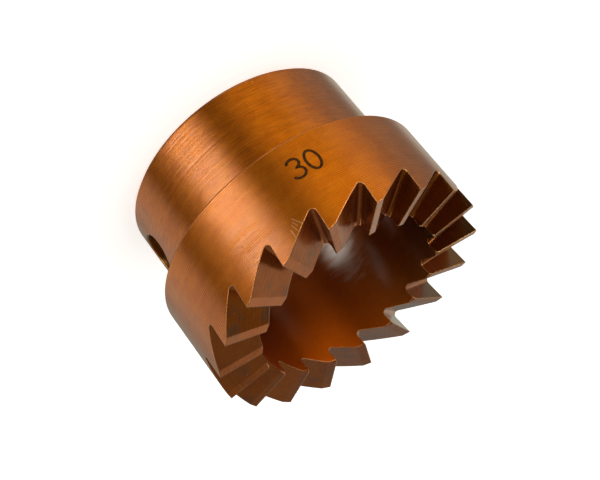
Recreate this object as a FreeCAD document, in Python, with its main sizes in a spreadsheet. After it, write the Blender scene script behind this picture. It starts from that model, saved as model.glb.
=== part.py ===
"""Crown race cutter: a one-piece hollow mill for the crown race seat of a fork.

The cutter is turned from one bar: a wide head, a narrower collar behind it and a straight bore right
through. Eighteen end teeth are milled into the head, and one hole is drilled through the collar wall for
the screw that holds the cutter on its guide.

Frame: +Z runs along the bore from the collar to the teeth. The origin is the centre of the collar's back
face, on which the cutter stands, and one cutting edge lies above the +X axis. Millimetres and degrees.
"""
import FreeCAD, Part
import os
from math import cos, hypot, isclose, radians, sin, tan

import Sketcher

NODE = "crown_race_cutter"

# Driving sizes
SIZES = {
    "bore_diameter": 30.0,
    "head_diameter": 44.4,
    "head_length": 15.3,
    "collar_diameter": 37.6,
    "collar_length": 14.9,
    "collar_edge_break": 0.6,
    "shoulder_edge_break": 0.2,
    "shoulder_corner_radius": 0.4,
    "bore_back_break": 0.5,
    "bore_mouth_break": 0.3,
    "tooth_count": 18,
    "land_width": 1.4,
    "land_angle": 15.0,
    "relief_angle": 33.0,
    "rake_angle": 5.0,
    "root_radius": 0.6,
    "screw_hole_diameter": 7.5,
    "screw_hole_from_back": 7.4,
    "screw_hole_angle": -15.3,
    "screw_hole_edge_break": 0.2,
    "turning_stock": 0.5,
    "cutter_overrun": 1.0,
}

# Formulas that several dimensions share
TIPS = "(Sizes.collar_length + Sizes.head_length)"
PITCH = "(360 / Sizes.tooth_count)"
TOP = "(Sizes.turning_stock + Sizes.cutter_overrun)"
INNER_REACH = f"(Sizes.bore_diameter / 2 * cos{PITCH} - Sizes.cutter_overrun)"
OUTER_REACH = "(Sizes.head_diameter / 2 + Sizes.cutter_overrun)"
RAKE_SLOPE = f"(tan(Sizes.rake_angle) / cos{PITCH})"
ROOT_SWING = f"(tan{PITCH} / (1 - {RAKE_SLOPE} * tan(Sizes.relief_angle)))"
ROOT_FALL = f"({ROOT_SWING} * tan(Sizes.relief_angle))"
GASH_TOP = f"({TOP} + {ROOT_FALL} * ({OUTER_REACH} - {INNER_REACH}))"

# How a sketch names its own origin, its level axis and the points of a line or circle
ORIGIN = (-1, 1)
LEVEL_AXIS = -1
START, END, CENTRE = 1, 2, 3

# Place of the turning profile, in pitches round from the cutting edge above +X
PROFILE_PITCHES = 2.5

# Closeness at which two measures count as the same
FIT = 1e-5

document = FreeCAD.newDocument("CrownRaceCutter")


def make_sheet():
    """Spreadsheet with one named cell for each driving size."""
    sheet = document.addObject("Spreadsheet::Sheet", "Sizes")
    for row, (alias, value) in enumerate(SIZES.items(), start=1):
        sheet.set(f"A{row}", alias)
        sheet.set(f"B{row}", str(value))
        sheet.setAlias(f"B{row}", alias)
    document.recompute()


def origin_part(body, role):
    """Plane or axis of the body's own origin."""
    return next(part for part in body.Origin.OriginFeatures if part.Role == role)


def make_sketch(body, name, plane_role):
    sketch = body.newObject("Sketcher::SketchObject", name)
    sketch.AttachmentSupport = (origin_part(body, plane_role), [""])
    sketch.MapMode = "FlatFace"
    return sketch


def number(sketch, formula):
    """What a formula on the sheet comes to now."""
    value = sketch.evalExpression(formula)
    return float(getattr(value, "Value", value))


def turn_about_z(sketch, formula):
    """Turn an upright sketch about the vertical through its origin."""
    upright = FreeCAD.Vector(0, 1, 0)
    turn = FreeCAD.Rotation(upright, number(sketch, formula))
    sketch.AttachmentOffset = FreeCAD.Placement(FreeCAD.Vector(), turn)
    sketch.setExpression("AttachmentOffset.Rotation.Angle", formula)


def dimension(sketch, name, kind, geometry, formula):
    """Named dimension that follows a formula on the sheet."""
    value = number(sketch, formula)
    if kind == "Angle":
        value = radians(value)
    index = sketch.addConstraint(Sketcher.Constraint(kind, *geometry, value))
    sketch.renameConstraint(index, name)
    sketch.setExpression(f"Constraints.{name}", formula)


def outline(sketch, corners):
    """Closed outline of straight lines, joined end to end, as the numbers of its lines."""
    points = [FreeCAD.Vector(x, y, 0) for x, y in corners]
    sides = [Part.LineSegment(a, b) for a, b in zip(points, points[1:] + points[:1])]
    lines = list(sketch.addGeometry(sides, False))
    for line, following in zip(lines, lines[1:] + lines[:1]):
        sketch.addConstraint(Sketcher.Constraint("Coincident", line, END, following, START))
    return lines


def edges_where(feature, wanted):
    """Names of the feature's edges that fit a test."""
    return [f"Edge{index}" for index, edge in enumerate(feature.Shape.Edges, start=1) if wanted(edge)]


def turned_blank(body):
    """Collar, shoulder, head and bore, with the tip end left long for the milling.

    The profile lies a whole and a half number of pitches round from a cutting edge. So the seam of the
    turned faces runs down the middle of a tooth's back, where it meets no root, and clear of the screw hole.
    """
    bore = SIZES["bore_diameter"] / 2
    head = SIZES["head_diameter"] / 2
    collar = SIZES["collar_diameter"] / 2
    shoulder = SIZES["collar_length"]
    tips = shoulder + SIZES["head_length"]
    stock = SIZES["turning_stock"]
    back_break = SIZES["bore_back_break"]
    mouth_break = SIZES["bore_mouth_break"]
    collar_break = SIZES["collar_edge_break"]
    head_break = SIZES["shoulder_edge_break"]
    sketch = make_sketch(body, "BlankProfile", "XZ_Plane")
    turn_about_z(sketch, f"{PROFILE_PITCHES} * {PITCH}")
    lines = outline(sketch, [
        (bore + back_break, 0),
        (collar - collar_break, 0),
        (collar, collar_break),
        (collar, shoulder),
        (head - head_break, shoulder),
        (head, shoulder + head_break),
        (head, tips + stock),
        (bore + mouth_break + stock, tips + stock),
        (bore, tips - mouth_break),
        (bore, back_break),
    ])
    back, collar_chamfer, collar_side, step, head_chamfer, head_side, front, mouth, bore_side, _ = lines
    for line in (back, step, front):
        sketch.addConstraint(Sketcher.Constraint("Horizontal", line))
    for line in (collar_side, head_side, bore_side):
        sketch.addConstraint(Sketcher.Constraint("Vertical", line))
    sketch.addConstraint(Sketcher.Constraint("PointOnObject", back, START, LEVEL_AXIS))

    bore_radius = "Sizes.bore_diameter / 2"
    collar_radius = "Sizes.collar_diameter / 2"
    head_radius = "Sizes.head_diameter / 2"
    radii = {
        "bore_radius": (bore_side, bore_radius),
        "back_mouth_radius": (back, f"{bore_radius} + Sizes.bore_back_break"),
        "front_mouth_radius": (mouth, f"{bore_radius} + Sizes.bore_mouth_break + Sizes.turning_stock"),
        "collar_radius": (collar_side, collar_radius),
        "collar_face_radius": (collar_chamfer, f"{collar_radius} - Sizes.collar_edge_break"),
        "head_radius": (head_side, head_radius),
        "shoulder_face_radius": (head_chamfer, f"{head_radius} - Sizes.shoulder_edge_break"),
    }
    heights = {
        "bore_front": (bore_side, f"{TIPS} - Sizes.bore_mouth_break"),
        "bore_back": (lines[-1], "Sizes.bore_back_break"),
        "collar_start": (collar_side, "Sizes.collar_edge_break"),
        "shoulder": (step, "Sizes.collar_length"),
        "head_start": (head_side, "Sizes.collar_length + Sizes.shoulder_edge_break"),
        "front_face": (front, f"{TIPS} + Sizes.turning_stock"),
    }
    for name, (line, formula) in radii.items():
        dimension(sketch, name, "DistanceX", (*ORIGIN, line, START), formula)
    for name, (line, formula) in heights.items():
        dimension(sketch, name, "DistanceY", (*ORIGIN, line, START), formula)

    blank = body.newObject("PartDesign::Revolution", "TurnedBlank")
    blank.Profile = sketch
    blank.ReferenceAxis = (origin_part(body, "Z_Axis"), [""])
    blank.Angle = 360
    document.recompute()

    def inner_corner(edge):
        ring = edge.Curve
        return (isinstance(ring, Part.Circle) and isclose(ring.Radius, collar, abs_tol=FIT)
                and isclose(ring.Center.z, shoulder, abs_tol=FIT))

    corner = body.newObject("PartDesign::Fillet", "ShoulderCorner")
    corner.Base = (blank, edges_where(blank, inner_corner))
    corner.setExpression("Radius", "Sizes.shoulder_corner_radius")
    document.recompute()


def section_sketch(body, name):
    """Sketch square to the cutting edge above +X, inside the bore, with its origin in line with the edge."""
    sketch = make_sketch(body, name, "YZ_Plane")
    sketch.setExpression("AttachmentOffset.Base.y", TIPS)
    sketch.setExpression("AttachmentOffset.Base.z", INNER_REACH)
    return sketch


def land_cut(body):
    """Cut along the cutting edge that leaves the narrow land behind it."""
    angle = radians(SIZES["land_angle"])
    land_end = (-SIZES["land_width"] * cos(angle), -SIZES["land_width"] * sin(angle))
    sketch = section_sketch(body, "LandSection")
    top = number(sketch, TOP)
    land, rise, _ = outline(sketch, [(top / tan(angle), top), land_end, (land_end[0], top)])
    sketch.addConstraint(Sketcher.Constraint("PointOnObject", *ORIGIN, land))
    sketch.addConstraint(Sketcher.Constraint("Vertical", rise))
    dimension(sketch, "land_angle", "Angle", (land,), "Sizes.land_angle - 180")
    dimension(sketch, "land_width", "Distance", (*ORIGIN, land, END), "Sizes.land_width")
    dimension(sketch, "land_top", "DistanceY", (*ORIGIN, land, START), TOP)
    dimension(sketch, "rise_top", "DistanceY", (*ORIGIN, rise, END), TOP)
    return sketch, ("0", "0")


def vee_gash(body):
    """Vee between the relief of one tooth and the rake face of the next, cut along its own root.

    The relief plane keeps the direction of the tooth's own cutting edge. The rake plane holds the next
    tooth's cutting edge, one pitch round the axis, so the root swings away and sinks as it runs outward.
    """
    land, relief = radians(SIZES["land_angle"]), radians(SIZES["relief_angle"])
    sketch = section_sketch(body, "GashSection")
    top, slope = number(sketch, GASH_TOP), number(sketch, RAKE_SLOPE)
    next_edge = f"{INNER_REACH} * tan{PITCH}"
    away = number(sketch, next_edge)
    run, fall = SIZES["land_width"] * cos(land), SIZES["land_width"] * sin(land)
    depth = (away - run + fall / tan(relief)) / (1 / tan(relief) - slope)
    relief_top = -run + (top + fall) / tan(relief)
    relief_line, rake_line, top_line = outline(sketch, [
        (relief_top, top),
        (-away - slope * depth, -depth),
        (-away + slope * top, top),
    ])
    land_end = sketch.addGeometry(Part.Point(FreeCAD.Vector(-run, -fall, 0)), True)
    edge_point = sketch.addGeometry(Part.Point(FreeCAD.Vector(-away, 0, 0)), True)
    sketch.addConstraint(Sketcher.Constraint("PointOnObject", land_end, START, relief_line))
    sketch.addConstraint(Sketcher.Constraint("PointOnObject", edge_point, START, rake_line))
    sketch.addConstraint(Sketcher.Constraint("PointOnObject", edge_point, START, LEVEL_AXIS))
    sketch.addConstraint(Sketcher.Constraint("Horizontal", top_line))
    land_run = "Sizes.land_width * cos(Sizes.land_angle)"
    land_fall = "Sizes.land_width * sin(Sizes.land_angle)"
    dimension(sketch, "land_run", "DistanceX", (land_end, START, *ORIGIN), land_run)
    dimension(sketch, "land_fall", "DistanceY", (land_end, START, *ORIGIN), land_fall)
    dimension(sketch, "next_edge", "DistanceX", (edge_point, START, *ORIGIN), next_edge)
    dimension(sketch, "relief_angle", "Angle", (relief_line,), "Sizes.relief_angle - 180")
    dimension(sketch, "rake_lean", "Angle", (rake_line,), f"90 deg - atan({RAKE_SLOPE})")
    dimension(sketch, "gash_top", "DistanceY", (*ORIGIN, relief_line, START), GASH_TOP)
    return sketch, (f"-{ROOT_SWING}", f"-{ROOT_FALL}")


def milled(body, name, sketch, path):
    """Pocket from inside the bore to outside the head, along a path given by its slopes."""
    pocket = body.newObject("PartDesign::Pocket", name)
    pocket.Profile = sketch
    pocket.Type = "Length"
    pocket.UseCustomVector = True
    pocket.AlongSketchNormal = True
    swing, fall = path
    pocket.Direction = FreeCAD.Vector(1, number(sketch, swing), number(sketch, fall))
    pocket.setExpression("Direction.y", swing)
    pocket.setExpression("Direction.z", fall)
    pocket.setExpression("Length", f"{OUTER_REACH} - {INNER_REACH}")
    document.recompute()
    return pocket


def tooth_ring(body):
    """Land and gash milled once for each tooth, then the root rounded between relief and rake face."""
    land = milled(body, "LandCut", *land_cut(body))
    gash = milled(body, "VeeGash", *vee_gash(body))
    ring = body.newObject("PartDesign::PolarPattern", "ToothRing")
    ring.Originals = [land, gash]
    ring.Axis = (origin_part(body, "Z_Axis"), [""])
    ring.Angle = 360
    ring.setExpression("Occurrences", "Sizes.tooth_count")
    body.Tip = ring
    document.recompute()

    tips = SIZES["collar_length"] + SIZES["head_length"]
    land_end = tips - SIZES["land_width"] * sin(radians(SIZES["land_angle"]))

    def root(edge):
        ends = [vertex.Point for vertex in edge.Vertexes]
        if not isinstance(edge.Curve, Part.Line) or len(ends) != 2:
            return False
        inner, outer = sorted(hypot(end.x, end.y) for end in ends)
        crosses_wall = isclose(inner, SIZES["bore_diameter"] / 2, abs_tol=FIT) and isclose(
            outer, SIZES["head_diameter"] / 2, abs_tol=FIT)
        return crosses_wall and all(end.z < land_end - FIT for end in ends)

    roots = body.newObject("PartDesign::Fillet", "ToothRoots")
    roots.Base = (ring, edges_where(ring, root))
    roots.setExpression("Radius", "Sizes.root_radius")
    document.recompute()


def screw_hole(body):
    """Hole through one side of the collar wall, square to the bore, with its outer edge broken."""
    sketch = make_sketch(body, "ScrewHoleCentre", "YZ_Plane")
    turn_about_z(sketch, "Sizes.screw_hole_angle")
    radius = "Sizes.collar_diameter / 2"
    sketch.setExpression("AttachmentOffset.Base.x", f"{radius} * sin(Sizes.screw_hole_angle)")
    sketch.setExpression("AttachmentOffset.Base.y", "Sizes.screw_hole_from_back")
    sketch.setExpression("AttachmentOffset.Base.z", f"{radius} * cos(Sizes.screw_hole_angle)")
    hole_radius = SIZES["screw_hole_diameter"] / 2
    circle = sketch.addGeometry(Part.Circle(FreeCAD.Vector(), FreeCAD.Vector(0, 0, 1), hole_radius), False)
    sketch.addConstraint(Sketcher.Constraint("Coincident", circle, CENTRE, *ORIGIN))
    dimension(sketch, "hole", "Diameter", (circle,), "Sizes.screw_hole_diameter")
    hole = body.newObject("PartDesign::Pocket", "ScrewHole")
    hole.Profile = sketch
    hole.Type = "Length"
    hole.setExpression("Length", radius)
    document.recompute()

    collar = SIZES["collar_diameter"] / 2
    low, high = SIZES["collar_edge_break"], SIZES["collar_length"] - SIZES["shoulder_corner_radius"]

    def mouth(edge):
        points = edge.discretize(9)
        return all(isclose(hypot(p.x, p.y), collar, abs_tol=FIT) and low < p.z < high for p in points)

    edge_break = body.newObject("PartDesign::Chamfer", "ScrewHoleBreak")
    edge_break.Base = (hole, edges_where(hole, mouth))
    edge_break.setExpression("Size", "Sizes.screw_hole_edge_break")
    document.recompute()


def removed(body, cut):
    """Make a cut and make sure that it took metal away."""
    before = body.Shape.Volume
    cut(body)
    if not body.Shape.Volume < before:
        raise RuntimeError(f"{cut.__name__} removed nothing")


def check(body):
    """Every object is up to date, and the body is one valid solid."""
    for thing in document.Objects:
        if "Invalid" in thing.State or "Error" in thing.State:
            raise RuntimeError(f"{thing.Name} failed: {thing.State}")
    shape = body.Shape
    if shape.isNull() or not shape.isValid() or len(shape.Solids) != 1:
        raise RuntimeError(f"{body.Label} is not one valid solid")


make_sheet()
cutter = document.addObject("PartDesign::Body", NODE)
cutter.Label = NODE
turned_blank(cutter)
removed(cutter, tooth_ring)
removed(cutter, screw_hole)
check(cutter)

os.makedirs("parts", exist_ok=True)
cutter.Shape.exportStep(f"parts/{cutter.Label}.step")
print(f"{cutter.Label}: {cutter.Shape.Volume:.1f} mm3, {len(cutter.Shape.Faces)} faces")
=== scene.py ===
"""Looks of the crown race cutter: a turned, milled and hard-coated steel cutter under soft studio boxes.

The cutter stands on its collar, teeth up, as in the frame. The camera looks at it from the photograph's side
and is rolled as the photograph is. Sizes in the tables are in millimetres and angles in degrees; angles
round the cutter are counted from +X towards +Y.
"""
from math import cos, pi, radians, sin

import bmesh
import bpy
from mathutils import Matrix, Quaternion, Vector


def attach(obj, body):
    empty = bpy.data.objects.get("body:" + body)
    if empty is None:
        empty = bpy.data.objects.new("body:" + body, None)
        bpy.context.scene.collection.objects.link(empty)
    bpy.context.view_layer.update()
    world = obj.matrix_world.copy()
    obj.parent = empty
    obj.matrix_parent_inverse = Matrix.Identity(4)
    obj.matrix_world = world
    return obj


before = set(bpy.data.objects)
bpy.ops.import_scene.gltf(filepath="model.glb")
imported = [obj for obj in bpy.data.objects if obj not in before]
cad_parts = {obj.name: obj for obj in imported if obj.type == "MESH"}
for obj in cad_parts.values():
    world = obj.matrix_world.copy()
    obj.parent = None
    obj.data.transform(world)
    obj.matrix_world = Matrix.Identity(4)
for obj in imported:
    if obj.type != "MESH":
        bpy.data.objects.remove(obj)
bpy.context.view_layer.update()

CUTTER = "crown_race_cutter"
SLOT = "coated_tool_steel"
MM = 0.001
TO_DEGREES = 180 / pi

# Camera: place, aim, roll and lens
CAMERA_PLACE = (-3.4475, -202.2405, 124.6517)
CAMERA_AIM = (0.3919, 0.7948, 16.6074)
CAMERA_ROLL = 141.7732
LENS = 93.203
SENSOR_WIDTH = 36.0
CLIP_METRES = (0.01, 10.0)

# Cutter: the turned sizes that part its zones, the pitch of its turning lines, the rounding of its edges
HEAD_BOTTOM = 14.9
TOOTH_ROOT = 24.0
HEAD_RADIUS = 22.2
HOLE_HEIGHT = 7.4
HOLE_REACH = (4.2, 3.9)
COLLAR_PITCH = 0.27
HEAD_PITCH = 0.31
EDGE_ROUNDING = 0.2
BEVEL_SAMPLES = 6

# Zones, each as the start and the end of a smooth step: how far a wall faces outwards, how level a tooth
# face is, how high above the shoulder the head starts and where its coating gets rougher and, as painted
# shade, darker towards the teeth, where the bore gets painted shade and painted light across it, and where
# its mouth is, which is painted darker
FACING_OUT = (0.9, 0.97)
RAKE_LEVEL = (0.5, 0.2)
HEAD_START = (0.1, 0.3)
TOOTHWARD = (17.0, 27.0)
BORE_DARK_X = (4.0, -14.0)
BORE_LIT_X = (8.0, 14.0)
BORE_MOUTH = (19.0, 27.0)
BORE_SHADE = 0.8

# Colours of the coating: deeper and lighter, on the crests and in the bore; a darker brown that is painted
# shade on rakes, in the screw hole and on the bore's far side; where it is rubbed thin, with lighter edges
# that are partly a painted highlight; the painted reflection, a pale sheen in the bore; and where it is
# stained
DEEP_COLOUR = (0.56, 0.118, 0.0, 1)
COAT_COLOUR = (0.60, 0.138, 0.0, 1)
PALE_COLOUR = (0.76, 0.27, 0.03, 1)
BORE_COLOUR = (0.56, 0.09, 0.0, 1)
PAINTED_SHADE_COLOUR = (0.32, 0.125, 0.02, 1)
WORN_AND_HIGHLIGHT_COLOUR = (0.82, 0.38, 0.15, 1)
PAINTED_SHEEN_COLOUR = (0.62, 0.52, 0.50, 1)
STAIN_COLOUR = (0.20, 0.12, 0.07, 1)

# Textures drawn out round the cutter: shares of the way round and of the profile that count, then scale,
# detail and roughness of the noise
WANDER = (0.015, 1.0, 1.1, 2.0, 0.5)
DRIFT = (0.015, 1.0, 1.6, 3.0, 0.5)
WAVE = (0.015, 1.0, 2.0, 2.0, 0.5)
DASHES = (0.6, 4.4, 1.0, 3.0, 0.65)
STREAKS = (0.12, 4.5, 1.0, 4.0, 0.6)

# Even textures: scale, detail and roughness of the noise; specks: scale, size and rarity
MOTTLE = (0.4, 3.0, 0.6)
GRAIN = (4.5, 3.0, 0.75)
STAINS = (0.3, 4.0, 0.65)
MARK_PATCHES = (3.0, 3.0, 0.7)
DARK_SPECKS = (0.9, 0.10, 0.88)
LIGHT_SPECKS = (0.6, 0.07, 0.8)
SPECK_EDGE = 0.01

# Turning lines: how many pitches they wander on the collar and how much less on the head, where they get
# shallow, how shallow that is on the collar and how much less so on the head, where a crest starts
COLLAR_WANDER, HEAD_STEADY = 1.6, 1.3
DRIFT_EDGE = (0.35, 0.65)
COLLAR_SHALLOW, HEAD_DEEPER = 0.35, 0.35
CREST_EDGE = (0.5, 0.0)

# How much less there is of lines and streaks in the bore, and of waves and dashes on the head
BORE_FEWER_LINES, BORE_FEWER_STREAKS = 0.85, 0.7
HEAD_FEWER_WAVES, HEAD_FEWER_DASHES = 0.7, 0.6

# Mixing of the colours: deep and light coating by the mottling, pale crests and pale grain
MOTTLE_EDGE = (-0.15, 0.15)
PALE_CREST = 0.2
PALE_GRAIN_EDGE = (0.08, 0.3)
PALE_GRAIN = 0.2

# What the textures and zones add to the coating's brightness, to its roughness and to its height in mm
TONE = {
    # Painted light: head makes the whole head lighter than the collar
    "start": 0.94, "head": 0.07, "head_end": -0.15, "teeth": -0.09,
    # Painted shade and painted light in the bore: bore darkens it, bore_across makes it darker on one side
    # and lighter on the other, bore_lit lightens its lit side and bore_mouth darkens its mouth
    "bore": -0.34, "bore_across": 0.018, "bore_lit": 0.35, "bore_mouth": -0.09,
    "mottle": 0.16, "grain": 0.45, "grain_on_teeth": -0.25, "streaks": 0.22, "streaks_on_teeth": 0.06,
    "dashes": 0.9, "crest": 0.18, "crest_on_head": 0.04, "dark_speck": -0.55,
}
ROUGHNESS = {
    "start": 0.35, "head_end": 0.06, "head_wall": -0.015, "teeth": -0.07, "bore": 0.14,
    "turned_grain": 0.08, "streaks": 0.08, "dark_speck": 0.2, "edge_wear_and_highlight": -0.08,
}
HEIGHT = {
    "start": 0.0, "scallop": 0.003, "scallop_on_head": 0.003, "wave": 0.05, "streaks": 0.014,
    "grain": 0.002, "dark_speck": -0.01, "mottle_on_teeth": 0.03,
}

# Gloss over the coating, and how the turning stretches the coating's own shine round the cutter
METALLIC = 1.0
COAT_WEIGHT = 0.88
COAT_ROUGHNESS = 0.16
COAT_IOR = 1.5
STRETCH = 0.75
STRETCH_TURN = 0.25

# Scratches beside a tooth: angle and height of both ends; half width, with soft edges; how clear they are
SCRATCHES = (
    (-92.3, 25.6, -94.2, 27.0),
    (-91.8, 26.1, -92.5, 26.9),
    (-90.9, 26.4, -91.5, 27.5),
    (-89.7, 26.9, -89.6, 28.3),
)
SCRATCH_EDGE = (0.13, 0.05)
SCRATCH_GRAIN = 0.1
SCRATCH_SHARE = 0.7

# Painted reflection in the bore, a pale sheen: angle and height of its middle, its reach in both, its strands
# (shares of the angle and of the height, scale, detail and roughness of the noise; how far they reach) and
# how clear it is
PAINTED_SHEEN_PLACE = (102.0, 16.0)
PAINTED_SHEEN_REACH = (15.0, 6.0)
STRANDS = (0.04, 0.55, 2.2, 3.0, 0.6)
STRAND_REACH = 1.2
PAINTED_SHEEN_EDGE = (1.6, 0.6)
PAINTED_SHEEN_SHARE = 0.55

# Dark stains on the teeth: where the texture makes one, and how clear they are
STAIN_EDGE = (0.52, 0.72)
STAIN_SHARE = 0.55

# Worn edges, lighter as rubbed coating and partly as a painted highlight: agreement of rounded and
# straight surface where this starts and is complete, and what the grain adds
EDGE_WEAR_AND_HIGHLIGHT_EDGE = (0.97, 0.85)
EDGE_WEAR_AND_HIGHLIGHT_GRAIN = 0.05

# Size number burnt into the head: angle and height of its middle, digits and strokes, and how deep it goes
MARK_PLACE = (-108.0, 19.6)
DIGIT_HEIGHT = 3.3
DIGIT_SPACING = 2.7
STROKE_WIDTH = 0.42
MARK_OUTSIDE = HEAD_RADIUS + 0.012
MARK_INSIDE = HEAD_RADIUS - 0.05
MARK_DARK = (0.035, 0.016, 0.005, 1)
MARK_LIGHT = (0.12, 0.045, 0.012, 1)
MARK_EDGE = (0.3, 0.7)
MARK_ROUGHNESS = (0.35, 0.3)
MARK_LINES, MARK_PATCHINESS = 0.003, 0.01

# Shape of the digits, as shares of their height: half heights of the three's bowls, half widths of the bowls
# and of the zero, and the rounding of a stroke's end, as shares of its half width
UPPER_BOWL, LOWER_BOWL = 0.235, 0.265
UPPER_WIDTH, LOWER_WIDTH, ZERO_WIDTH = 0.27, 0.3, 0.29
ZERO_POINTS = 48
END_ROUNDING = (0.3, 0.6, 0.8, 0.93, 0.99)

# Studio, in metres: floor, backdrop, their glow, and the overhead light that makes the shadow
FLOOR_RADIUS = 1.5
FLOOR_SIDES = 96
BACKDROP_HEIGHT = 1.6
FLOOR_COLOUR = (0.93, 0.93, 0.93, 1)
FLOOR_GLOW = 0.68
BACKDROP_GLOW = 1.0
MATT_ROUGHNESS = 0.9
OVERHEAD_LIGHT = 0.9
OVERHEAD_SPREAD = 70

# World: brightness of the even surround, and tints of the key light and of the rest
SURROUND = 0.04
KEY_TINT = (0.95, 1.08, 0.98)
REST_TINT = (1.0, 1.03, 0.87)

# Soft boxes round the cutter: azimuth and elevation of the middle, half width and half height, softness of
# the sides and of the ends, brightness; the first is the key light
SOFT_BOXES = (
    (-63, -29, 16, 2, 20, 4, 9.8),
    (-56, -29, 26, 22, 26, 16, 0.4),
    (-56, 6, 26, 13, 26, 14, 2.4),
    (180, -29, 24, 22, 24, 16, 0.33),
    (15, -29, 23, 22, 14, 16, 0.5),
    (53, -29, 15, 22, 15, 16, 0.27),
    (82, -29, 15, 22, 15, 16, 0.18),
    (112, -29, 15, 22, 15, 16, 0.5),
    (145, -29, 15, 22, 15, 16, 0.2),
    (-142, 6, 27, 13, 16, 14, 5.05),
    (-92, 8, 18, 13, 16, 14, 1.35),
    (-12, 8, 18, 13, 16, 12, 0.9),
    (12, 8, 20, 12, 16, 12, 0.75),
    (50, 10, 36, 11, 16, 12, 0.23),
    (122, 8, 34, 12, 16, 12, 0.55),
    (172, 8, 18, 12, 16, 12, 0.7),
    (70, 40, 16, 14, 16, 12, 0.19),
    (103, 42, 16, 14, 16, 12, 0.62),
    (30, 45, 24, 16, 16, 12, 0.2),
    (129, 41, 15, 14, 16, 12, 0.55),
    (0, 90, 180, 26, 1, 14, 0.16),
    (-140, -62, 30, 12, 20, 8, 1.6),
    (-60, -62, 30, 12, 20, 8, 0.34),
)


class Value:
    """The output of a shader node, which can be used in sums."""

    def __init__(self, graph, socket):
        self.graph, self.socket = graph, socket

    def __add__(self, other):
        return self.graph.math("ADD", self, other)

    def __sub__(self, other):
        return self.graph.math("SUBTRACT", self, other)

    def __mul__(self, other):
        return self.graph.math("MULTIPLY", self, other)

    def __truediv__(self, other):
        return self.graph.math("DIVIDE", self, other)

    __radd__, __rmul__ = __add__, __mul__

    def __rsub__(self, other):
        return self.graph.math("SUBTRACT", other, self)


class Graph:
    """Builds shader nodes; most calls add one node and return its output."""

    def __init__(self, tree):
        self.tree = tree

    def node(self, kind, inputs=(), **settings):
        made = self.tree.nodes.new(kind)
        for name, value in settings.items():
            setattr(made, name, value)
        for name, value in dict(inputs).items():
            self.feed(made.inputs[name], value)
        return made

    def feed(self, socket, value):
        if isinstance(value, Value):
            self.tree.links.new(value.socket, socket)
        else:
            socket.default_value = value

    def output(self, made, name):
        return Value(self, made.outputs[name])

    def math(self, operation, *values, clamp=False):
        made = self.node("ShaderNodeMath", operation=operation, use_clamp=clamp)
        for socket, value in zip(made.inputs, values):
            self.feed(socket, value)
        return self.output(made, "Value")

    def wrap(self, value, half):
        return self.math("WRAP", value, half, -half)

    def absolute(self, value):
        return self.math("ABSOLUTE", value)

    def larger(self, one, two):
        return self.math("MAXIMUM", one, two)

    def step(self, value, edge, low=0.0, high=1.0):
        """Smooth step of a value: low up to the edge's start, high from its end on."""
        made = self.node("ShaderNodeMapRange", interpolation_type="SMOOTHSTEP")
        numbers = {"Value": value, "From Min": edge[0], "From Max": edge[1], "To Min": low, "To Max": high}
        for name, number in numbers.items():
            self.feed(made.inputs[name], number)
        return self.output(made, "Result")

    def split(self, vector):
        made = self.node("ShaderNodeSeparateXYZ", {"Vector": vector})
        return [self.output(made, axis) for axis in "XYZ"]

    def join(self, x, y, z):
        return self.output(self.node("ShaderNodeCombineXYZ", {"X": x, "Y": y, "Z": z}), "Vector")

    def scale(self, vector, factor):
        made = self.node("ShaderNodeVectorMath", {"Vector": vector, "Scale": factor}, operation="SCALE")
        return self.output(made, "Vector")

    def specks(self, vector, scale, size, rarity):
        """Small round spots, in some of the cells only."""
        made = self.node("ShaderNodeTexVoronoi", {"Vector": vector, "Scale": scale})
        chosen = self.step(self.split(self.output(made, "Color"))[0], (rarity, rarity + SPECK_EDGE))
        return self.step(self.output(made, "Distance"), (size, size * 0.5)) * chosen

    def noise(self, vector, scale, detail, roughness):
        inputs = {"Vector": vector, "Scale": scale, "Detail": detail, "Roughness": roughness}
        return self.output(self.node("ShaderNodeTexNoise", inputs), "Fac")

    def drawn_out(self, x, y, profile, around, along, *noise):
        """Noise that is drawn out round the cutter."""
        return self.noise(self.join(x * around, y * around, profile * along), *noise)

    def away_from_line(self, across, up, reach_across, reach_up):
        """Distance from a line that starts at the origin of the plane and has the given reach."""
        length = reach_across ** 2 + reach_up ** 2
        share = self.math("ADD", across * (reach_across / length), up * (reach_up / length), clamp=True)
        across, up = across - share * reach_across, up - share * reach_up
        return self.math("SQRT", across * across + up * up)

    def blend(self, factor, low, high):
        """Colour mixed from low to high."""
        made = self.node("ShaderNodeMix", data_type="RGBA")
        for name, value in (("Factor_Float", factor), ("A_Color", low), ("B_Color", high)):
            self.feed(next(socket for socket in made.inputs if socket.identifier == name), value)
        return Value(self, next(socket for socket in made.outputs if socket.identifier == "Result_Color"))

    def total(self, shares, parts):
        """Sum of a table's start and of each named part times its share."""
        result = shares["start"]
        for name, share in shares.items():
            if name != "start":
                result = result + parts[name] * share
        return result


def add_object(name, data):
    thing = bpy.data.objects.new(name, data)
    bpy.context.scene.collection.objects.link(thing)
    return thing


def new_material(name):
    """A material, the builder of its nodes and its shader."""
    material = bpy.data.materials.new(name)
    material.use_nodes = True
    return material, Graph(material.node_tree), material.node_tree.nodes["Principled BSDF"]


def make_camera():
    data = bpy.data.cameras.new("camera")
    data.lens = LENS
    data.sensor_width = SENSOR_WIDTH
    data.clip_start, data.clip_end = CLIP_METRES
    thing = add_object("camera", data)
    place, aim = Vector(CAMERA_PLACE) * MM, Vector(CAMERA_AIM) * MM
    thing.location = place
    thing.rotation_mode = "QUATERNION"
    upright = (aim - place).to_track_quat("-Z", "Y")
    thing.rotation_quaternion = upright @ Quaternion((0, 0, 1), radians(CAMERA_ROLL))
    bpy.context.scene.camera = thing


def soft_edge(half, softness):
    """Edge of a soft box: dark outside it, bright inside."""
    return half + softness / 2, half - softness / 2


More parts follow.
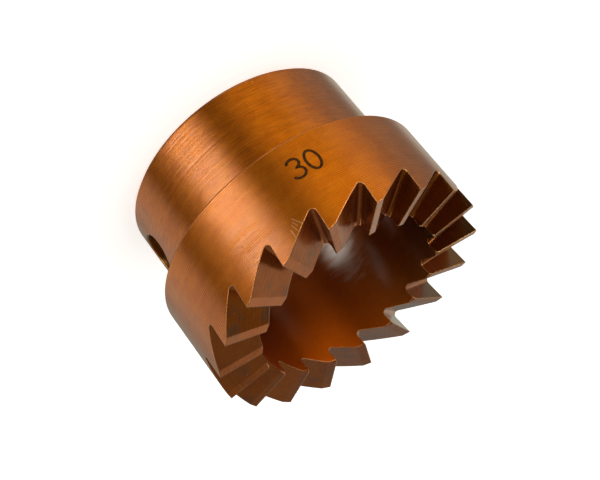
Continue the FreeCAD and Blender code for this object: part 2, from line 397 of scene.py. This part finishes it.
def make_world():
    """Dim even surround with soft boxes in it, which the steel mirrors."""
    world = bpy.data.worlds.new("studio")
    bpy.context.scene.world = world
    world.use_nodes = True
    graph = Graph(world.node_tree)
    coordinates = graph.node("ShaderNodeTexCoord")
    x, y, z = graph.split(graph.output(coordinates, "Generated"))
    azimuth = graph.math("ARCTAN2", y, x) * TO_DEGREES
    elevation = graph.math("ARCSINE", z) * TO_DEGREES
    boxes = []
    for at, up, half_width, half_height, soft_sides, soft_ends, brightness in SOFT_BOXES:
        across = graph.absolute(graph.wrap(azimuth - at, 180.0))
        along = graph.absolute(elevation - up)
        box = graph.step(across, soft_edge(half_width, soft_sides), 0.0, brightness)
        boxes.append(box * graph.step(along, soft_edge(half_height, soft_ends)))
    key, rest = boxes[0], sum(boxes[1:], SURROUND)
    colour = graph.join(*(key * a + rest * b for a, b in zip(KEY_TINT, REST_TINT)))
    graph.feed(world.node_tree.nodes["Background"].inputs["Color"], colour)


def turning(graph, x, y, profile, head, bore, turned):
    """Lines of the turning tool: round-nosed scallops, even on the head, uneven and wavy on the collar."""
    pitch = COLLAR_PITCH + (HEAD_PITCH - COLLAR_PITCH) * head
    wander = graph.drawn_out(x, y, profile, *WANDER) * (COLLAR_WANDER - HEAD_STEADY * head)
    saw = graph.math("FRACT", profile / pitch + wander) * 2 - 1
    drift = graph.drawn_out(x, y, profile, *DRIFT)
    depth = graph.step(drift, DRIFT_EDGE, COLLAR_SHALLOW + HEAD_DEEPER * head)
    depth = depth * turned * (1 - BORE_FEWER_LINES * bore)
    wave = graph.drawn_out(x, y, profile, *WAVE) - 0.5
    dashes = graph.drawn_out(x, y, profile, *DASHES) - 0.5
    outside = turned * (1 - bore)
    return {
        "scallop": saw * saw * depth,
        "crest": graph.step(saw * saw, CREST_EDGE) * depth,
        "wave": wave * (1 - HEAD_FEWER_WAVES * head) * outside,
        "dashes": dashes * (1 - HEAD_FEWER_DASHES * head) * outside,
    }


def scratches(graph, angle, z):
    """Distance in mm from the nearest scratch on the head's wall."""
    arc = HEAD_RADIUS / TO_DEGREES
    nearest = None
    for angle_1, z_1, angle_2, z_2 in SCRATCHES:
        away = graph.away_from_line((angle - angle_1) * arc, z - z_1, (angle_2 - angle_1) * arc, z_2 - z_1)
        nearest = away if nearest is None else graph.math("MINIMUM", nearest, away)
    return nearest


def painted_sheen_in_bore(graph, angle, z):
    """Painted reflection: a pale sheen with strands in it, round one place of the bore."""
    turn = graph.wrap(angle - PAINTED_SHEEN_PLACE[0], 180.0)
    away = graph.join(turn / PAINTED_SHEEN_REACH[0], (z - PAINTED_SHEEN_PLACE[1]) / PAINTED_SHEEN_REACH[1], 0.0)
    reach = graph.output(graph.node("ShaderNodeVectorMath", {0: away}, operation="LENGTH"), "Value")
    around, along, *noise = STRANDS
    strands = graph.noise(graph.join(turn * around, z * along, 0.0), *noise)
    return graph.step(reach + strands * STRAND_REACH, PAINTED_SHEEN_EDGE)


def coated_steel():
    """Hard-coated steel: turned walls and flat faces, ground teeth, worn edges partly painted as highlights,
    specks, stains, painted shade and light in places, and a painted reflection in the bore.
    """
    material, graph, shader = new_material(SLOT)
    coordinates = graph.node("ShaderNodeTexCoord")
    place = graph.scale(graph.output(coordinates, "Object"), 1 / MM)
    x, y, z = graph.split(place)
    nx, ny, nz = graph.split(graph.output(coordinates, "Normal"))
    radius = graph.math("SQRT", x * x + y * y)
    angle = graph.math("ARCTAN2", y, x) * TO_DEGREES
    outward = (nx * x + ny * y) / radius

    # Zones, 0 to 1 each
    wall = graph.step(outward, FACING_OUT)
    bore = graph.step(outward, [-number for number in FACING_OUT])
    upright = graph.larger(wall, bore)
    teeth = graph.step(z, (TOOTH_ROOT - 0.5, TOOTH_ROOT)) * (1 - upright)
    turned = 1 - teeth
    hollow = (1 - upright) * graph.step(graph.absolute(z - HOLE_HEIGHT), HOLE_REACH)
    rake = teeth * graph.step(graph.absolute(nz), RAKE_LEVEL)
    # Painted shade: rakes, the bore's far side and the screw hole get a darker brown
    shade = graph.larger(rake, bore * graph.step(x, BORE_DARK_X) * BORE_SHADE)
    shade = graph.larger(shade, hollow)
    head = graph.step(z, [HEAD_BOTTOM + number for number in HEAD_START])

    # Turning lines, long streaks round the cutter, mottling of the coating, a fine grain and specks
    profile = z * upright + radius * (1 - upright)
    lines = turning(graph, x, y, profile, head, bore, turned)
    streaks = (graph.drawn_out(x, y, profile, *STREAKS) - 0.5) * (1 - BORE_FEWER_STREAKS * bore)
    mottle = graph.noise(place, *MOTTLE) - 0.5
    grain = graph.noise(place, *GRAIN) - 0.5
    dark_speck = graph.specks(place, *DARK_SPECKS) * (1 - bore)
    light_speck = graph.specks(place, *LIGHT_SPECKS) * (1 - bore)

    # Edges: where a small rounding would turn the surface, the coating is rubbed thin; the lighter colour
    # there is partly a painted highlight
    rounded = graph.node("ShaderNodeBevel", samples=BEVEL_SAMPLES)
    rounded.inputs["Radius"].default_value = EDGE_ROUNDING * MM
    rounded = graph.output(rounded, "Normal")
    straight = graph.output(graph.node("ShaderNodeNewGeometry"), "Normal")
    agreement = graph.node("ShaderNodeVectorMath", {0: rounded, 1: straight}, operation="DOT_PRODUCT")
    edge_wear_and_highlight = graph.step(graph.output(agreement, "Value") + grain * EDGE_WEAR_AND_HIGHLIGHT_GRAIN, EDGE_WEAR_AND_HIGHLIGHT_EDGE)

    # Marks of use, and a painted reflection in the bore
    stain = teeth * graph.step(graph.noise(place, *STAINS), STAIN_EDGE)
    scratch = graph.step(scratches(graph, angle, z) + grain * SCRATCH_GRAIN, SCRATCH_EDGE) * wall
    painted_sheen = painted_sheen_in_bore(graph, angle, z) * bore

    parts = dict(
        lines, head=head, head_end=wall * graph.step(z, TOOTHWARD), head_wall=wall * head, teeth=teeth,
        bore=bore, bore_across=bore * x, bore_lit=bore * graph.step(x, BORE_LIT_X),
        bore_mouth=bore * graph.step(z, BORE_MOUTH), mottle=mottle, mottle_on_teeth=mottle * teeth,
        grain=grain, grain_on_teeth=grain * teeth, turned_grain=grain * turned,
        streaks=streaks, streaks_on_teeth=streaks * teeth, crest_on_head=lines["crest"] * head,
        scallop_on_head=lines["scallop"] * head, dark_speck=dark_speck, edge_wear_and_highlight=edge_wear_and_highlight,
    )

    base = graph.blend(graph.step(mottle, MOTTLE_EDGE), DEEP_COLOUR, COAT_COLOUR)
    base = graph.blend(bore, base, BORE_COLOUR)
    base = graph.blend(shade, base, PAINTED_SHADE_COLOUR)
    pale = lines["crest"] * PALE_CREST + graph.step(grain, PALE_GRAIN_EDGE, 0.0, PALE_GRAIN) * turned
    base = graph.blend(pale, base, PALE_COLOUR)
    base = graph.scale(base, graph.total(TONE, parts))
    base = graph.blend(stain * STAIN_SHARE, base, STAIN_COLOUR)
    base = graph.blend(painted_sheen * PAINTED_SHEEN_SHARE, base, PAINTED_SHEEN_COLOUR)
    # Lighter colour of rubbed edges, which is partly a painted highlight, of light specks and of scratches
    rubbed_and_highlight = graph.larger(graph.larger(edge_wear_and_highlight, light_speck), scratch * SCRATCH_SHARE)
    graph.feed(shader.inputs["Base Color"], graph.blend(rubbed_and_highlight, base, WORN_AND_HIGHLIGHT_COLOUR))
    graph.feed(shader.inputs["Roughness"], graph.total(ROUGHNESS, parts))

    relief = {"Height": graph.total(HEIGHT, parts), "Distance": MM, "Strength": 1.0, "Normal": rounded}
    bump = graph.node("ShaderNodeBump", relief)
    for name in ("Normal", "Coat Normal"):
        graph.feed(shader.inputs[name], graph.output(bump, "Normal"))
    tangent = graph.node("ShaderNodeTangent", direction_type="RADIAL", axis="Z")
    graph.feed(shader.inputs["Tangent"], graph.output(tangent, "Tangent"))

    shader.inputs["Metallic"].default_value = METALLIC
    shader.inputs["Anisotropic"].default_value = STRETCH
    shader.inputs["Anisotropic Rotation"].default_value = STRETCH_TURN
    shader.inputs["Coat Weight"].default_value = COAT_WEIGHT
    shader.inputs["Coat IOR"].default_value = COAT_IOR
    shader.inputs["Coat Roughness"].default_value = COAT_ROUGHNESS
    return material


def burnt_mark():
    """Dark oxide of the mark, a little uneven, with some of the steel's gloss and its turning lines."""
    material, graph, shader = new_material("burnt_mark")
    place = graph.scale(graph.output(graph.node("ShaderNodeTexCoord"), "Object"), 1 / MM)
    patchy = graph.noise(place, *MARK_PATCHES)
    graph.feed(shader.inputs["Base Color"], graph.blend(graph.step(patchy, MARK_EDGE), MARK_DARK, MARK_LIGHT))
    graph.feed(shader.inputs["Roughness"], MARK_ROUGHNESS[0] + patchy * MARK_ROUGHNESS[1])
    lines = graph.math("SINE", graph.split(place)[2] / HEAD_PITCH * (2 * pi))
    height = lines * MARK_LINES + patchy * MARK_PATCHINESS
    relief = {"Height": height, "Distance": MM, "Strength": 1.0}
    graph.feed(shader.inputs["Normal"], graph.output(graph.node("ShaderNodeBump", relief), "Normal"))
    shader.inputs["Metallic"].default_value = METALLIC
    return material


def stroke(points, closed):
    """Cross sections of a flat ribbon along a line: middle, side direction and half width of each."""
    sections = []
    count = len(points)
    for i, point in enumerate(points):
        before = points[i - 1] if closed or i else point
        after = points[(i + 1) % count] if closed or i + 1 < count else point
        way = (after - before).normalized()
        sections.append((point, Vector((-way.y, way.x)), STROKE_WIDTH / 2))
    if closed:
        return sections
    for first in (True, False):
        point, side, half = sections[0 if first else -1]
        way = Vector((side.y, -side.x)) * (-1 if first else 1)
        for share in END_ROUNDING:
            tip = (point + way * half * share, side, half * (1 - share * share) ** 0.5)
            if first:
                sections.insert(0, tip)
            else:
                sections.append(tip)
    return sections


def arc(middle, across, up, start, end, count=28):
    """Points on an ellipse from one angle to another."""
    angles = [radians(start + (end - start) * i / count) for i in range(count + 1)]
    return [Vector((middle[0] + across * cos(a), middle[1] + up * sin(a))) for a in angles]


def on_head(across, up, level):
    """Place on the head's wall of a point of the mark's flat drawing, in metres."""
    turn = radians(MARK_PLACE[0]) - across / HEAD_RADIUS
    return Vector((cos(turn) * level, sin(turn) * level, MARK_PLACE[1] - up)) * MM


def make_mark():
    """The seat size, thirty, in plain digits burnt into the head; upright when the teeth point down."""
    h = DIGIT_HEIGHT
    upper, lower = UPPER_BOWL * h, LOWER_BOWL * h
    three = arc((0, h / 2 - upper), UPPER_WIDTH * h, upper, 150, -90)
    three += arc((0, lower - h / 2), LOWER_WIDTH * h, lower, 90, -150)[1:]
    zero = arc((0, 0), ZERO_WIDTH * h, h / 2, 90, 450, ZERO_POINTS)[:-1]
    mesh = bmesh.new()
    for points, closed, shift in ((three, False, -DIGIT_SPACING / 2), (zero, True, DIGIT_SPACING / 2)):
        rows = []
        for middle, side, half in stroke(points, closed):
            corners = []
            for away, level in (
                (half, MARK_OUTSIDE), (-half, MARK_OUTSIDE), (-half, MARK_INSIDE), (half, MARK_INSIDE),
            ):
                spot = middle + side * away
                corners.append(mesh.verts.new(on_head(spot.x + shift, spot.y, level)))
            rows.append(corners)
        for i in range(len(rows) if closed else len(rows) - 1):
            one, two = rows[i], rows[(i + 1) % len(rows)]
            for j in range(4):
                k = (j + 1) % 4
                mesh.faces.new((one[j], one[k], two[k], two[j]))
        if not closed:
            mesh.faces.new(rows[0])
            mesh.faces.new(rows[-1][::-1])
    bmesh.ops.recalc_face_normals(mesh, faces=mesh.faces)
    data = bpy.data.meshes.new("size_mark")
    mesh.to_mesh(data)
    mesh.free()
    thing = add_object("size_mark", data)
    data.materials.append(burnt_mark())
    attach(thing, "root")


def stage_piece(name, glow):
    """Names the object just made and gives it matt paint with an even glow, not in mirrors."""
    material, _, shader = new_material(name)
    shader.inputs["Base Color"].default_value = FLOOR_COLOUR
    shader.inputs["Roughness"].default_value = MATT_ROUGHNESS
    shader.inputs["Specular IOR Level"].default_value = 0.0
    shader.inputs["Emission Color"].default_value = FLOOR_COLOUR
    shader.inputs["Emission Strength"].default_value = glow
    thing = bpy.context.active_object
    thing.name = name
    thing.data.materials.append(material)
    thing.visible_glossy = False
    thing.visible_shadow = False
    return thing


def make_stage():
    """Pale round floor, pale backdrop round it and the overhead light."""
    bpy.ops.mesh.primitive_circle_add(vertices=FLOOR_SIDES, radius=FLOOR_RADIUS, fill_type="NGON")
    stage_piece("floor", FLOOR_GLOW)
    bpy.ops.mesh.primitive_cylinder_add(
        vertices=FLOOR_SIDES, radius=FLOOR_RADIUS, depth=BACKDROP_HEIGHT, end_fill_type="NOTHING",
        location=(0, 0, BACKDROP_HEIGHT / 2),
    )
    stage_piece("backdrop", BACKDROP_GLOW).visible_diffuse = False
    light = bpy.data.lights.new("overhead", "SUN")
    light.energy = OVERHEAD_LIGHT
    light.angle = radians(OVERHEAD_SPREAD)
    add_object("overhead", light).visible_glossy = False


steel = coated_steel()
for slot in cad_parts[CUTTER].material_slots:
    slot.material = steel

make_mark()
make_camera()
make_world()
make_stage()

bpy.context.scene.view_settings.view_transform = "Standard"
